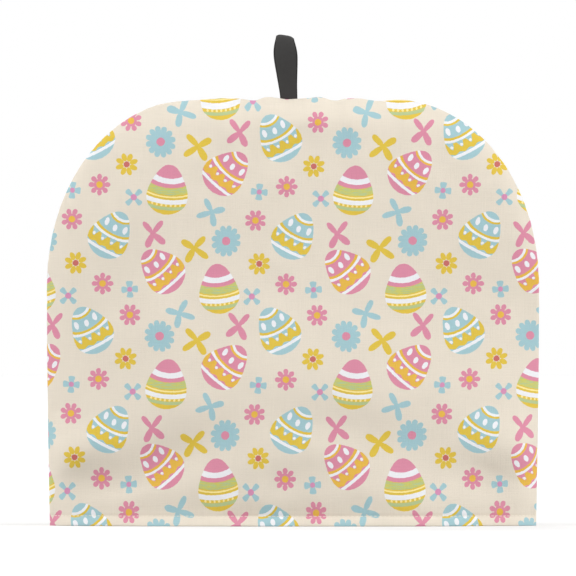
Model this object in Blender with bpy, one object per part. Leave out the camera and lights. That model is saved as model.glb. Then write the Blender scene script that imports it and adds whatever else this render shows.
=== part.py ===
"""Padded tea cosy: two D-shaped cloth panels sewn together round the sides and top, with a
tape loop caught in the top seam.  Metres, +Z up.  The open hem stands on Z = 0, the front
panel faces -Y, and the seam lies in the plane Y = 0, which is also the origin's.
"""

import math

import bpy
import numpy as np

# Cover, over the outside
HEM_WIDTH = 0.317
WIDEST = 0.321
WIDEST_HEIGHT = 0.155
BODY_HEIGHT = 0.2782
TOP_EDGE = 0.125            # nearly straight stretch of the top seam
CORNER_HEIGHT = 0.237       # where the sides' rows of the mesh give way to the top's
HEM_DEPTH = 0.100           # front to back across the open hem
TENT_SHARE = 0.65           # 1 would give a tent-like section, 0 an elliptical one
WALL = 0.004                # two cloths with a thin wadding between them

# Side and top seam
SEAM_GAP = 0.0003
RIM_STANDS_OFF = 0.0016     # from the seam plane to each panel's outermost line
LIP_INSET = 0.0010
SEAM_ALLOWANCE = 0.0055

# Hem: a narrow band turned up and stitched
HEM_BAND = 0.0065
STITCH_GROOVE = 0.0009
STITCH_GROOVE_WIDTH = 0.0018
BAND_SWELL = 0.0004
BOTTOM_EDGE_ROUND = 0.0006

# Loop of tape, standing over the top seam
TAPE_WIDTH = 0.0163
TAPE_THICKNESS = 0.0011
LOOP_FOOT_WIDTH = 0.0117    # gathered where the seam holds it
LOOP_FOOT_SPREADS = 0.010
LOOP_RISE = 0.0400
LOOP_LEG = 0.008            # length held inside the seam
LOOP_FOOT_X = -0.0028
LOOP_TOP_X = -0.0056
LOOP_TOP_SLOPE = 0.21       # the fold drops to the right
LOOP_BELLY = 0.0068         # larger opens the loop wider, seen from the side
LOOP_CLEARANCE = 0.0003

# Uneven top seam: where, how far it spreads, how much it rises
TOP_RIPPLES = (
    (-0.070, 0.0110, -0.0009),
    (-0.042, 0.0090, 0.0005),
    (-0.026, 0.0055, -0.0010),
    (-0.016, 0.0060, 0.0014),
    (0.005, 0.0055, -0.0006),
    (0.016, 0.0060, 0.0014),
    (0.0275, 0.0050, -0.0011),
    (0.040, 0.0070, 0.0006),
    (0.057, 0.0090, -0.0013),
)

# Soft folds: x, z, angle from +X in degrees, half length, half width, rise of the cloth
FRONT_FOLDS = (
    (-0.118, 0.036, 24, 0.040, 0.014, -0.0030),
    (-0.066, 0.056, 20, 0.036, 0.015, -0.0024),
    (-0.012, 0.078, 24, 0.040, 0.015, -0.0016),
    (0.052, 0.078, -16, 0.042, 0.015, -0.0026),
    (0.136, 0.034, -38, 0.030, 0.013, -0.0026),
    (0.116, 0.092, -12, 0.036, 0.018, 0.0018),
    (-0.100, 0.078, 26, 0.045, 0.018, 0.0014),
    (-0.150, 0.062, 78, 0.018, 0.009, -0.0020),
    (0.153, 0.052, 100, 0.016, 0.008, -0.0018),
    (0.151, 0.144, 84, 0.018, 0.009, -0.0018),
    (-0.149, 0.152, 94, 0.024, 0.010, 0.0010),
    (-0.046, 0.264, 108, 0.017, 0.008, 0.0013),
    (0.037, 0.264, 78, 0.017, 0.008, 0.0013),
    (0.076, 0.262, 62, 0.017, 0.008, 0.0011),
)
BACK_FOLDS = (
    (-0.096, 0.044, 22, 0.046, 0.015, -0.0026),
    (0.034, 0.070, -8, 0.060, 0.016, -0.0022),
    (0.122, 0.058, -30, 0.034, 0.014, -0.0024),
    (-0.128, 0.100, 60, 0.036, 0.014, 0.0014),
    (0.148, 0.120, 82, 0.022, 0.010, -0.0016),
    (-0.062, 0.262, 114, 0.017, 0.008, 0.0012),
    (0.030, 0.264, 82, 0.017, 0.008, 0.0012),
    (0.092, 0.252, 56, 0.018, 0.009, 0.0010),
)
FOLD_FADE = 0.22            # folds die out this near the seam, as a share of the crown

# Mesh
COLUMNS = 48
HEM_ROWS = (0.0, 0.001, 0.004, 0.0065, 0.009, 0.014)
UPPER_ROWS = 15
LOOP_STEPS = 26
LEG_STEPS = 2
TAPE_COLUMNS = 3

SHOULDER_WIDTH = (WIDEST - TOP_EDGE) / 2
SHOULDER_HEIGHT = BODY_HEIGHT - WIDEST_HEIGHT
LOOP_OPENS_SEAM = TAPE_THICKNESS + LOOP_CLEARANCE


def clear_scene():
    for old in list(bpy.data.objects):
        bpy.data.objects.remove(old, do_unlink=True)


def cloth_material(name, colour, roughness):
    material = bpy.data.materials.new(name)
    material.use_nodes = True
    shader = material.node_tree.nodes["Principled BSDF"]
    shader.inputs["Base Color"].default_value = (*colour, 1.0)
    shader.inputs["Roughness"].default_value = roughness
    shader.inputs["Metallic"].default_value = 0.0
    return material


def half_width(z):
    """Half the cover's width at height z: nearly upright sides, then elliptical shoulders."""
    widening = np.sin(np.clip(z / WIDEST_HEIGHT, 0, 1) * math.pi / 2)
    side = HEM_WIDTH / 2 + (WIDEST - HEM_WIDTH) / 2 * widening
    climb = np.clip((z - WIDEST_HEIGHT) / SHOULDER_HEIGHT, 0, 1)
    shoulder = TOP_EDGE / 2 + SHOULDER_WIDTH * np.sqrt(1 - climb**2)
    return np.where(z < WIDEST_HEIGHT, side, shoulder)


def crest(x):
    """Height of the top seam at x: the straight stretch with its ripples, then the shoulders."""
    reach = np.clip((np.abs(x) - TOP_EDGE / 2) / SHOULDER_WIDTH, 0, 1)
    z = WIDEST_HEIGHT + SHOULDER_HEIGHT * np.sqrt(1 - reach**2)
    for centre, spread, rise in TOP_RIPPLES:
        z = z + rise * np.exp(-(((x - centre) / spread) ** 2))
    return z


def fold_rise(x, z, folds):
    """Sum of soft ridges and troughs, each an elongated bell on the panel's face."""
    total = np.zeros_like(x)
    for centre_x, centre_z, angle, half_length, half_width_across, rise in folds:
        c = math.cos(math.radians(angle))
        s = math.sin(math.radians(angle))
        along = (x - centre_x) * c + (z - centre_z) * s
        across = (z - centre_z) * c - (x - centre_x) * s
        bell = np.exp(-((along / half_length) ** 2) - (across / half_width_across) ** 2)
        total += rise * bell
    return total


def loop_gap(x, z):
    """How far each panel stands aside near the top seam to let the loop's legs through."""
    beside = 1 / (1 + ((x - LOOP_FOOT_X) / 0.0155) ** 6)
    below = np.exp(-(((BODY_HEIGHT - z) / 0.016) ** 2))
    return LOOP_OPENS_SEAM * beside * below


def panel_points(u, v, inset, rim, depth, folds):
    """Points of one face of a panel, at distance y from the seam plane.

    u runs from -1 to 1 across the panel and v from 0 at the hem to 1 at the top seam.  The
    crown, sqrt((1 - u^2)(1 - v^2)), is 0 all along the seam and 1 at the middle of the hem.
    """
    across = half_width(CORNER_HEIGHT * v)
    corner = half_width(CORNER_HEIGHT)
    x = u * across * (1 - inset / (WIDEST / 2))
    z = CORNER_HEIGHT * v + v**2 * (crest(u * corner) - CORNER_HEIGHT)
    z = z * (1 - inset / BODY_HEIGHT)
    crown = np.sqrt(np.clip((1 - u**2) * (1 - v**2), 0, 1))
    y = rim + (depth - rim) * (TENT_SHARE * crown**2 + (1 - TENT_SHARE) * crown)
    y = y + fold_rise(x, z, folds) * (1 - np.exp(-((crown / FOLD_FADE) ** 2)))
    return x, y + loop_gap(x, z), z


def hem_relief(z):
    """The turned-up band swells a little under the groove that its stitches pull."""
    groove = np.exp(-(((z - HEM_BAND) / STITCH_GROOVE_WIDTH) ** 2))
    swell = np.exp(-(((z - HEM_BAND / 2) / (HEM_BAND / 2.5)) ** 2))
    edge = np.where(z <= 0, BOTTOM_EDGE_ROUND, 0.0)
    return BAND_SWELL * swell - STITCH_GROOVE * groove - edge


def panel_grid():
    """Column and row values: columns closer at the sides, rows closer at the hem and top."""
    t = np.linspace(-1, 1, COLUMNS + 1)
    u = 0.62 * t + 0.38 * np.sin(t * math.pi / 2)
    low = np.array(HEM_ROWS) / CORNER_HEIGHT
    t = np.linspace(0, 1, UPPER_ROWS + 1)[1:]
    high = low[-1] + (1 - low[-1]) * (0.45 * t + 0.55 * np.sin(t * math.pi / 2))
    return np.meshgrid(u, np.concatenate([low, high]), indexing="ij")


def grid_faces(first, rows, columns, inward):
    """Quads of a grid of points numbered row by row within each column.  Their diagonals
    point at the panel's upper corners, where two sides of a quad lie in line."""
    faces = []
    for i in range(columns):
        for j in range(rows):
            a = first + i * (rows + 1) + j
            d = a + 1
            b = a + rows + 1
            c = b + 1
            face = (a, b, c, d) if 2 * i >= columns else (b, c, d, a)
            faces.append(face[::-1] if inward else face)
    return faces


def make_object(name, points, faces, material):
    mesh = bpy.data.meshes.new(name)
    mesh.from_pydata([tuple(p) for p in points], [], faces)
    mesh.materials.append(material)
    mesh.shade_smooth()
    mesh.set_sharp_from_angle(angle=math.radians(50))
    made = bpy.data.objects.new(name, mesh)
    bpy.context.scene.collection.objects.link(made)
    return made


def make_panel(name, side, folds, material):
    """One padded panel as a closed wall.  side is -1 for the front and 1 for the back."""
    u, v = panel_grid()
    columns = u.shape[0] - 1
    rows = u.shape[1] - 1
    seam = [(0, j) for j in range(rows + 1)]
    seam += [(i, rows) for i in range(1, columns + 1)]
    seam += [(columns, j) for j in range(rows - 1, -1, -1)]
    seam_u = np.array([u[place] for place in seam])
    seam_v = np.array([v[place] for place in seam])

    half_gap = SEAM_GAP / 2
    x, y, z = panel_points(u, v, 0.0, RIM_STANDS_OFF, HEM_DEPTH / 2, folds)
    outer = np.stack([x, side * (y + hem_relief(z)), z], axis=-1).reshape(-1, 3)
    x, y, z = panel_points(u, v, SEAM_ALLOWANCE, half_gap, HEM_DEPTH / 2 - WALL, folds)
    inner = np.stack([x, side * y, z], axis=-1).reshape(-1, 3)
    x, y, z = panel_points(seam_u, seam_v, LIP_INSET, half_gap, half_gap, folds)
    lip = np.stack([x, side * y, z], axis=-1)

    first_inner = len(outer)
    first_lip = first_inner + len(inner)
    faces = grid_faces(0, rows, columns, inward=False)
    faces += grid_faces(first_inner, rows, columns, inward=True)
    ring = [i * (rows + 1) + j for i, j in seam]
    for k in range(len(ring) - 1):
        lip_here = first_lip + k
        faces.append((ring[k], ring[k + 1], lip_here + 1, lip_here))
        inner_here = first_inner + ring[k]
        faces.append((lip_here, lip_here + 1, first_inner + ring[k + 1], inner_here))
    for i in range(columns):
        here = i * (rows + 1)
        there = here + rows + 1
        faces.append((here, first_inner + here, first_inner + there, there))
    faces.append((ring[0], first_lip, first_inner + ring[0]))
    faces.append((ring[-1], first_inner + ring[-1], first_lip + len(ring) - 1))
    if side > 0:
        faces = [face[::-1] for face in faces]
    return make_object(name, np.concatenate([outer, inner, lip]), faces, material)


def loop_path():
    """Middle line of the tape, seen from the side: front leg, teardrop, back leg.

    With t from 0 to 2 pi the teardrop is y = -belly sin(t) sin(t/2)^2 - leg cos(t/2) and
    z = rise (1 - cos(t)) / 2, so it leaves the seam upright and closes round at the top.
    """
    leg = SEAM_GAP / 2 + TAPE_THICKNESS / 2
    rise = LOOP_RISE - TAPE_THICKNESS / 2
    t = np.linspace(0, 2 * math.pi, LOOP_STEPS + 1)
    y = -LOOP_BELLY * np.sin(t) * np.sin(t / 2) ** 2 - leg * np.cos(t / 2)
    z = rise * (1 - np.cos(t)) / 2
    down = np.linspace(-LOOP_LEG, 0, LEG_STEPS + 1)[:-1]
    y = np.concatenate([np.full(LEG_STEPS, -leg), y, np.full(LEG_STEPS, leg)])
    return y, np.concatenate([down, z, down[::-1]])


def make_loop(name, material):
    """The tape loop: a strip of even thickness along loop_path, narrower at its foot."""
    y, z = loop_path()
    run = np.hypot(np.gradient(y), np.gradient(z))
    normal_y = -np.gradient(z) / run
    normal_z = np.gradient(y) / run
    height = np.clip(z / LOOP_RISE, 0, 1)
    gathered = np.exp(-np.clip(z, 0, None) / LOOP_FOOT_SPREADS)
    width = TAPE_WIDTH - (TAPE_WIDTH - LOOP_FOOT_WIDTH) * gathered
    middle = LOOP_FOOT_X + (LOOP_TOP_X - LOOP_FOOT_X) * height
    share = np.linspace(-0.5, 0.5, TAPE_COLUMNS + 1)
    x = middle + np.outer(share, width)
    lean = LOOP_TOP_SLOPE * np.outer(share, width) * height**2
    faces_of_tape = []
    for layer in (0.5, -0.5):
        off_y = y + layer * TAPE_THICKNESS * normal_y
        off_z = z + layer * TAPE_THICKNESS * normal_z
        sheet = np.stack([x, np.broadcast_to(off_y, x.shape), BODY_HEIGHT + off_z - lean], -1)
        faces_of_tape.append(sheet.reshape(-1, 3))
    steps = len(y) - 1
    first_inner = len(faces_of_tape[0])
    faces = grid_faces(0, steps, TAPE_COLUMNS, inward=False)
    faces += grid_faces(first_inner, steps, TAPE_COLUMNS, inward=True)
    last = TAPE_COLUMNS * (steps + 1)
    for j in range(steps):
        faces.append((j, j + 1, first_inner + j + 1, first_inner + j))
        faces.append((last + j, first_inner + last + j, first_inner + last + j + 1, last + j + 1))
    for i in range(TAPE_COLUMNS):
        low = i * (steps + 1)
        next_low = low + steps + 1
        faces.append((low, first_inner + low, first_inner + next_low, next_low))
        high = low + steps
        next_high = next_low + steps
        faces.append((high, next_high, first_inner + next_high, first_inner + high))
    return make_object(name, np.concatenate(faces_of_tape), faces, material)


def build():
    clear_scene()
    printed = cloth_material("printed_cotton", (0.76, 0.66, 0.54), 0.85)
    tape = cloth_material("dark_tape", (0.045, 0.045, 0.047), 0.80)
    make_panel("front_panel", -1, FRONT_FOLDS, printed)
    make_panel("back_panel", 1, BACK_FOLDS, printed)
    make_loop("hanging_loop", tape)


build()
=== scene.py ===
"""Tea cosy of printed cotton: two padded panels, their stitched hems and a tape loop, dressed
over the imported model.  Metres, +Z up, front panel towards -Y, open hem on Z = 0.
"""
import math

import bpy
import numpy as np
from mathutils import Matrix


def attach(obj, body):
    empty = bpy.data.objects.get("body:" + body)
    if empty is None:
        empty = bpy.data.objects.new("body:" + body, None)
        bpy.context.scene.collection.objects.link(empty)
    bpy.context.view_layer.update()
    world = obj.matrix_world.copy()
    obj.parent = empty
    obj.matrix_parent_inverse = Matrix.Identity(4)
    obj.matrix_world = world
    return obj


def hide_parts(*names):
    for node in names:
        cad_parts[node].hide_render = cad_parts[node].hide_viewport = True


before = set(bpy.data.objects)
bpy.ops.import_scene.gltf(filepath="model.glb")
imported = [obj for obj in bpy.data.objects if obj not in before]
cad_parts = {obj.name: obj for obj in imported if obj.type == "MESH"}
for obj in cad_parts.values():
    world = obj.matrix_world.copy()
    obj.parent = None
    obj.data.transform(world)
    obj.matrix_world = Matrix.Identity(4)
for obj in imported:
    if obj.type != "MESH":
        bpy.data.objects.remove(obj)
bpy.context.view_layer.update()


# ------------------------------------------------------------------ Front panel
# Half of the cover: printed cotton over a thin wadding, cut as a D with one straight side.
# Its curved edge rolls into the side and top seam, and its straight edge is turned up once
# and stitched as a narrow hem.  The print is a small spring repeat on a cream plain weave.

HEM_WIDTH = 0.317
WIDEST = 0.321
WIDEST_HEIGHT = 0.155
BODY_HEIGHT = 0.2782
TOP_EDGE = 0.125
CORNER_HEIGHT = 0.237
HEM_DEPTH = 0.100
TENT_SHARE = 0.65
WALL = 0.004
SHOULDER_WIDTH = (WIDEST - TOP_EDGE) / 2
SHOULDER_HEIGHT = BODY_HEIGHT - WIDEST_HEIGHT
SHOULDER_FULLNESS = 2.06        # 2 is an ellipse
FRONT_SEED = 11

RIM_ROLL = 0.0037               # the padded edge rolls over into the seam by this much more
RIM_ROLL_WIDTH = 0.0078
SIDES_FLATTER = 0.60            # half way up each side, the roll is smaller by this share
SIDES_FLATTER_HEIGHT = 0.112
SIDES_FLATTER_SPREAD = 0.060

# How the cloth rolls into the seam: turned in by, and distance from the seam's plane
SEAM_ROLL = ((0.0, 0.0016), (0.00012, 0.0009), (0.00045, 0.00045), (0.0010, 0.00015))
SEAM_ALLOWANCE = 0.0055
SEAM_CENTRE_HEIGHT = 0.110      # the seam's puckers point at this height on the middle line
QUARTER_WIDTH = 0.080           # for the rough distance from the seam
HALF_HEIGHT = 0.139
DRAWN_IN = 0.00016              # puckers pull the seam in, and ripple the cloth beside it
DRAWN_IN_REACH = 0.004
PUCKER_RISE = 0.00042
PUCKER_START = 0.002
PUCKER_REACH = 0.007
SAG_RISE = 0.00050              # slow waves over the whole panel
SAG_ACROSS = 0.040
SAG_UP = 0.034
SAG_FADE = 0.35

HEM_BAND = 0.0065
HEM_FADE = 0.15                 # the hem's shape fades out at its two ends
BAND_FLARE = 0.0026             # the band stands out further towards its foot
BAND_SWELL = 0.0004
BAND_SLACK = 0.25               # and unevenly along the hem, by this share
BAND_SLACK_PITCH = 0.020
DRAWN_TO_STITCHES = 0.0019      # the cloth above the band dips in towards the stitches
DRAWN_HEIGHT = 0.0076
STITCH_GROOVE = 0.0006
STITCH_GROOVE_WIDTH = 0.0013
HEM_RIPPLE = 0.00013            # small ripples either side of the stitches
HEM_RIPPLE_SIZE = 0.0030
HEM_RIPPLE_HEIGHT = 0.0105
HEM_FOLD_RADIUS = 0.0008
PRINTED_INSIDE = 0.012          # the turned-up hem shows its print inside, this far up

LOOP_FOOT_X = -0.0028
LOOP_OPENS_SEAM = 0.0014
LOOP_OPENING_SPREADS = 0.0155
LOOP_OPENING_DEPTH = 0.016

# Uneven top seam: where, how far it spreads, how much it rises
TOP_RIPPLES = (
    (-0.070, 0.0110, -0.0009),
    (-0.042, 0.0090, 0.0005),
    (-0.026, 0.0055, -0.0010),
    (-0.016, 0.0060, 0.0014),
    (0.005, 0.0055, 0.0002),
    (0.016, 0.0060, 0.0014),
    (0.0275, 0.0050, -0.0011),
    (0.040, 0.0070, 0.0006),
    (0.057, 0.0090, -0.0013),
)

# Soft folds, then finer creases: x, z, angle in degrees, half length, half width, rise
FRONT_FOLDS = (
    (0.010, 0.166, 0, 0.170, 0.050, -0.0034),
    (0.120, 0.142, -14, 0.050, 0.036, -0.0022),
    (-0.116, 0.196, 66, 0.045, 0.016, 0.0026),
    (-0.095, 0.128, 10, 0.030, 0.020, 0.0018),
    (-0.146, 0.049, 14, 0.026, 0.013, 0.0054),
    (-0.078, 0.086, 20, 0.030, 0.020, 0.0018),
    (-0.126, 0.026, 10, 0.036, 0.013, -0.0044),
    (-0.074, 0.044, 22, 0.036, 0.016, -0.0046),
    (-0.080, 0.014, 6, 0.038, 0.013, -0.0033),
    (0.044, 0.056, -8, 0.044, 0.017, -0.0025),
    (0.034, 0.092, -8, 0.044, 0.018, 0.0016),
    (0.012, 0.052, 0, 0.028, 0.013, 0.0016),
    (0.004, 0.028, 0, 0.040, 0.014, -0.0012),
    (0.148, 0.050, -20, 0.024, 0.013, 0.0040),
    (0.124, 0.058, -14, 0.044, 0.034, 0.0034),
    (0.120, 0.029, -16, 0.028, 0.013, -0.0028),
    (0.083, 0.000, -3, 0.036, 0.026, 0.0064),
    (0.008, 0.267, 0, 0.034, 0.010, 0.0022),
    (0.004, 0.270, 0, 0.068, 0.025, 0.0024),
    (-0.155, 0.074, 30, 0.008, 0.005, -0.0014),
    (0.156, 0.074, -30, 0.008, 0.005, -0.0012),
    (-0.149, 0.152, 94, 0.024, 0.010, 0.0010),
    (0.151, 0.144, 84, 0.018, 0.009, -0.0018),
    (-0.046, 0.264, 108, 0.017, 0.008, 0.0013),
    (0.037, 0.264, 78, 0.017, 0.008, 0.0013),
    (0.076, 0.262, 62, 0.017, 0.008, 0.0011),
    (-0.104, 0.026, 12, 0.028, 0.004, -0.0006),
    (0.128, 0.036, -24, 0.024, 0.004, -0.0006),
    (0.146, 0.070, 80, 0.014, 0.003, 0.0006),
    (0.020, 0.015, 2, 0.070, 0.005, -0.0004),
    (-0.018, 0.0072, 0, 0.055, 0.005, -0.0010),
    (-0.047, 0.268, 100, 0.010, 0.003, 0.0007),
    (-0.039, 0.262, 75, 0.010, 0.003, 0.0006),
    (0.037, 0.266, 95, 0.010, 0.003, 0.0007),
    (0.074, 0.266, 70, 0.009, 0.003, 0.0006),
    (0.112, 0.240, 40, 0.012, 0.004, 0.0005),
    (-0.120, 0.236, 140, 0.014, 0.004, 0.0005),
)
FOLD_FADE = 0.22

PANEL_COLUMNS = 220
PANEL_ROWS = 118

PRINT_LEAN = 0.0048             # the print leans right by this share of its height
PRINT_DIP = 0.0012              # it dips under the loop, and rises towards the sides
PRINT_DIP_HEIGHT = 0.240
PRINT_DIP_ACROSS = 0.045
PRINT_DIP_UP = 0.050
PRINT_SIDE_RISE = 0.00065
PRINT_LET_DOWN = 0.0024         # it is let down towards the hem, and drawn up into the top seam
PRINT_LET_DOWN_REACH = 0.020
PRINT_DRAWN_UP = 0.0021
PRINT_DRAWN_UP_REACH = 0.005
PRINT_PAST_SEAM = 0.0007        # for each step of the roll into the seam
STEEP_FROM_U = 0.94             # the cloth is steep from here to the seam
STEEP_FROM_V = 0.985

# The panel's flat map: the outer face, the inner face pressed into a strip above it, the
# underside of the hem, the steps past the seam, and the corners of one end of the hem
MAP_HALF_WIDTH = 0.48
MAP_FOOT = 0.125
MAP_HEIGHT = 0.735
MAP_INNER_FOOT = 0.890
MAP_INNER_HEIGHT = 0.095
MAP_HEM = 0.012
MAP_SEAM = (0.0, 0.0015, 0.0030, 0.0045, 0.0140)
MAP_END = ((0.0200, 0.1250), (0.0160, 0.1225), (0.0120, 0.1199), (0.0085, 0.1170), (0.0200, 0.1130))


def bell(distance, spread):
    """exp(-(distance / spread)^2): 1 at no distance, and nearly 0 past two spreads."""
    return np.exp(-((distance / spread) ** 2))


def shoulder(share):
    """A quarter of the shoulders' full ellipse: (1 - share^n)^(1/n)."""
    return (1 - share**SHOULDER_FULLNESS) ** (1 / SHOULDER_FULLNESS)


def half_width(z):
    """Half the cover's width at height z: a quarter sine widens the sides a little, and the
    shoulders' curve draws them in above that."""
    widening = np.sin(np.clip(z / WIDEST_HEIGHT, 0, 1) * math.pi / 2)
    side = HEM_WIDTH / 2 + (WIDEST - HEM_WIDTH) / 2 * widening
    climb = np.clip((z - WIDEST_HEIGHT) / SHOULDER_HEIGHT, 0, 1)
    return np.where(z < WIDEST_HEIGHT, side, TOP_EDGE / 2 + SHOULDER_WIDTH * shoulder(climb))


def top_seam(x):
    """Height of the top seam at x: level in the middle, the shoulders' curve past it, plus a
    bell for each ripple."""
    reach = np.clip((np.abs(x) - TOP_EDGE / 2) / SHOULDER_WIDTH, 0, 1)
    z = WIDEST_HEIGHT + SHOULDER_HEIGHT * shoulder(reach)
    for centre, spread, rise in TOP_RIPPLES:
        z = z + rise * bell(x - centre, spread)
    return z


def fold_rise(x, z, folds):
    """Sum of soft ridges and troughs, each a bell drawn out along its own angle."""
    total = np.zeros_like(x)
    for centre_x, centre_z, angle, half_length, half_across, rise in folds:
        c = math.cos(math.radians(angle))
        s = math.sin(math.radians(angle))
        along = (x - centre_x) * c + (z - centre_z) * s
        across = (z - centre_z) * c - (x - centre_x) * s
        total += rise * np.exp(-((along / half_length) ** 2) - (across / half_across) ** 2)
    return total


def uneven(bearing, waves, seed):
    """A wandering ripple between about -1 and 1: sine waves, each swelling and fading along
    the way by a slower sine of its own."""
    chance = np.random.default_rng(seed)
    total = np.zeros_like(bearing)
    for wave in waves:
        swell = np.sin(chance.uniform(2, 7) * bearing + chance.uniform(0, 6.28))
        total += swell * np.sin(wave * bearing + chance.uniform(0, 6.28))
    return total / math.sqrt(len(waves))


def off_seam(u, v):
    """Rough distance in metres from the side and top seam: the two distances, to the side
    and to the top, joined as a product over a sum."""
    to_side = QUARTER_WIDTH * (1 - u**2) + 1e-9
    to_top = HALF_HEIGHT * (1 - v**2) + 1e-9
    return to_side * to_top / (to_side + to_top)


def panel_surface(u, v, turned_in, rim, depth, folds, seed):
    """One face of a panel: u runs from -1 to 1 across it and v from 0 at the hem to 1 at the
    top seam.  The crown, sqrt((1 - u^2)(1 - v^2)), is 0 along the seam and 1 at the middle of
    the hem, and y follows 0.65 crown^2 + 0.35 crown between rim and depth.  To that come a
    half bell for the padded edge, smaller half way up the sides, the folds, the seam's
    puckers, a slow sag, and room for the loop's foot, 1 / (1 + x^6) across."""
    corner = half_width(CORNER_HEIGHT)
    x = u * half_width(CORNER_HEIGHT * v)
    z = CORNER_HEIGHT * v + v**2 * (top_seam(u * corner) - CORNER_HEIGHT)
    bearing = np.arctan2(z - SEAM_CENTRE_HEIGHT, x)
    away = off_seam(u, v)
    drawn_in = DRAWN_IN * (1 + uneven(bearing, (58, 83, 117), seed)) * np.exp(-away / DRAWN_IN_REACH)
    turned = turned_in + drawn_in * v
    x = x * (1 - turned / (WIDEST / 2))
    z = z * (1 - turned / BODY_HEIGHT)
    crown = np.sqrt(np.clip((1 - u**2) * (1 - v**2), 0, 1))
    roll = RIM_ROLL * (1 - SIDES_FLATTER * bell(z - SIDES_FLATTER_HEIGHT, SIDES_FLATTER_SPREAD))
    y = rim + (depth - rim - roll) * (TENT_SHARE * crown**2 + (1 - TENT_SHARE) * crown)
    y = y + roll * (1 - bell(away, RIM_ROLL_WIDTH))
    y = y + fold_rise(x, z, folds) * (1 - bell(crown, FOLD_FADE))
    puckers = uneven(bearing, (64, 91, 122, 151), seed + 1)
    y = y + PUCKER_RISE * puckers * (1 - bell(away, PUCKER_START)) * np.exp(-away / PUCKER_REACH)
    sag = uneven(x / SAG_ACROSS, (1.0, 1.7, 2.3), seed + 2) * uneven(z / SAG_UP, (0.9, 1.6), seed + 3)
    y = y + SAG_RISE * sag * (1 - bell(crown, SAG_FADE))
    beside = 1 / (1 + ((x - LOOP_FOOT_X) / LOOP_OPENING_SPREADS) ** 6)
    return x, y + LOOP_OPENS_SEAM * beside * bell(BODY_HEIGHT - z, LOOP_OPENING_DEPTH), z


def hem_fold(z, crown):
    """How far the round fold at the bottom edge takes a face in: a quarter circle,
    r - sqrt(r^2 - (r - z)^2)."""
    low = np.clip(1 - z / HEM_FOLD_RADIUS, 0, 1)
    return HEM_FOLD_RADIUS * (1 - np.sqrt(1 - low**2)) * (1 - bell(crown, HEM_FADE))


def hem_relief(x, z, crown, seed):
    """How the hem stands out: a band that widens in a straight line towards its foot and
    swells a little, cloth above it that dips in as a half bell, the groove its stitches pull,
    small ripples either side of them, and a round fold at the bottom edge."""
    groove = STITCH_GROOVE * bell(z - HEM_BAND, STITCH_GROOVE_WIDTH)
    swell = np.exp(-(((z - HEM_BAND / 2) / (HEM_BAND / 2.4)) ** 4))
    flare = BAND_FLARE * np.clip(1 - z / HEM_BAND, 0, 1)
    drawn = DRAWN_TO_STITCHES * bell(np.clip(z - HEM_BAND, 0, 1), DRAWN_HEIGHT)
    ripple = HEM_RIPPLE * uneven(x / HEM_RIPPLE_SIZE, (1.0, 1.45, 2.1), seed + 4)
    slack = 1 + BAND_SLACK * uneven(x / BAND_SLACK_PITCH, (1.0, 1.6), seed + 5)
    relief = (BAND_SWELL * swell + flare) * slack - drawn - groove
    rippled = ripple * (swell + bell(z - HEM_RIPPLE_HEIGHT, HEM_RIPPLE_SIZE))
    return relief * (1 - bell(crown, HEM_FADE)) + rippled - hem_fold(z, crown)


def gathered(t):
    """Even steps of t drawn closer together towards 1 and -1: 0.35 t + 0.65 sin(t pi / 2)."""
    return 0.35 * t + 0.65 * np.sin(t * math.pi / 2)


def panel_rows():
    """v of each row: close through the hem and its fold, then closing up to the top seam."""
    fold = np.array([0.0, 0.1, 0.3, 0.6, 1.0, 1.5]) / 1000
    hem = np.concatenate([fold, np.arange(0.0020, 0.0131, 0.0005)]) / CORNER_HEIGHT
    t = np.linspace(0, 1, PANEL_ROWS + 1)[1:]
    return np.concatenate([hem, hem[-1] + (1 - hem[-1]) * gathered(t)])


def laid_along(seen, y, share, steep_from):
    """How far the print runs down each column of a grid.  It is seen square on over most of
    the panel, and laid out by the cloth's own length on the steep last part before the seam."""
    steep = np.clip((np.abs(share[1:] + share[:-1]) / 2 - steep_from) / (1 - steep_from), 0, 1)
    step = np.diff(seen, axis=0)
    length = np.hypot(step, np.diff(y, axis=0))
    run = np.cumsum(step + steep**2 * (length - step), axis=0)
    return np.concatenate([np.zeros((1, seen.shape[1])), run])


def print_place(run, rise, z, side):
    """Where each point lies on the flat print.  The panel was cut a little off the print's
    upright, and the print dips, is let down and is drawn up as soft bells."""
    upright = run + side * PRINT_LEAN * (rise - BODY_HEIGHT / 2)
    dip = PRINT_DIP * bell(run, PRINT_DIP_ACROSS) * bell(rise - PRINT_DIP_HEIGHT, PRINT_DIP_UP)
    dip = dip - PRINT_SIDE_RISE * (run / (WIDEST / 2)) ** 2
    dip = dip + PRINT_LET_DOWN * bell(z, PRINT_LET_DOWN_REACH)
    dip = dip - PRINT_DRAWN_UP * bell(BODY_HEIGHT - z, PRINT_DRAWN_UP_REACH)
    return np.stack([upright, rise + dip, np.zeros_like(rise)], -1).reshape(-1, 3)


def strip(first, second):
    """The four corners of every face between two rows of points."""
    return np.stack([first[:-1], first[1:], second[1:], second[:-1]], 1)


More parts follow.
